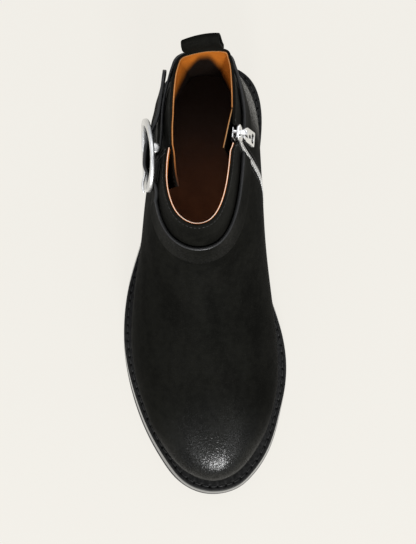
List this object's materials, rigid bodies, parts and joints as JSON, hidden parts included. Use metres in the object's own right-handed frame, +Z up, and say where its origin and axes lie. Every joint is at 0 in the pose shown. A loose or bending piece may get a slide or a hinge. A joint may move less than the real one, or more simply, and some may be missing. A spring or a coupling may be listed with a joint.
{
  "type": "ankle boot",
  "caption": "Right-foot ankle boot with rounded toe, welted sole, low block heel, inner side zip, ankle strap with oval buckle and a pull loop at the back of the collar.",
  "frame": {"origin": "centre of the heel's flat bottom face, on the floor", "axes": "+Z up, toe towards -Y, inner side of the foot towards +X"},
  "size_m": [0.1037, 0.278, 0.151],
  "materials": {
    "upper": "waxed black nubuck",
    "lining": "smooth tan lining leather",
    "insole": "dark brown insole leather",
    "welt": "black, stitched",
    "sole": "black, polished edge",
    "hardware": "nickel, brushed",
    "zip": "zip teeth"
  },
  "bodies": {
    "boot": {"outsole": "sole", "heel": "sole", "welt": "welt", "insole": "insole", "upper": "upper", "side_flap": "lining", "zip_guard": "lining", "zip_chain": "zip", "zip_slider": "hardware", "strap_front": "upper", "strap_back": "upper", "buckle_frame": "hardware", "buckle_prong": "hardware", "pull_loop": "upper"},
    "zip_pull": {"zip_pull": "hardware"}
  },
  "joints": [
    {"name": "zip_pull_swing", "type": "hinge", "parent": "boot", "child": "zip_pull", "pos_m": [0.02238, -0.02407, 0.12335], "axis": [-0.0708, -0.9885, 0.1335], "range_deg": [0, 150]}
  ]
}
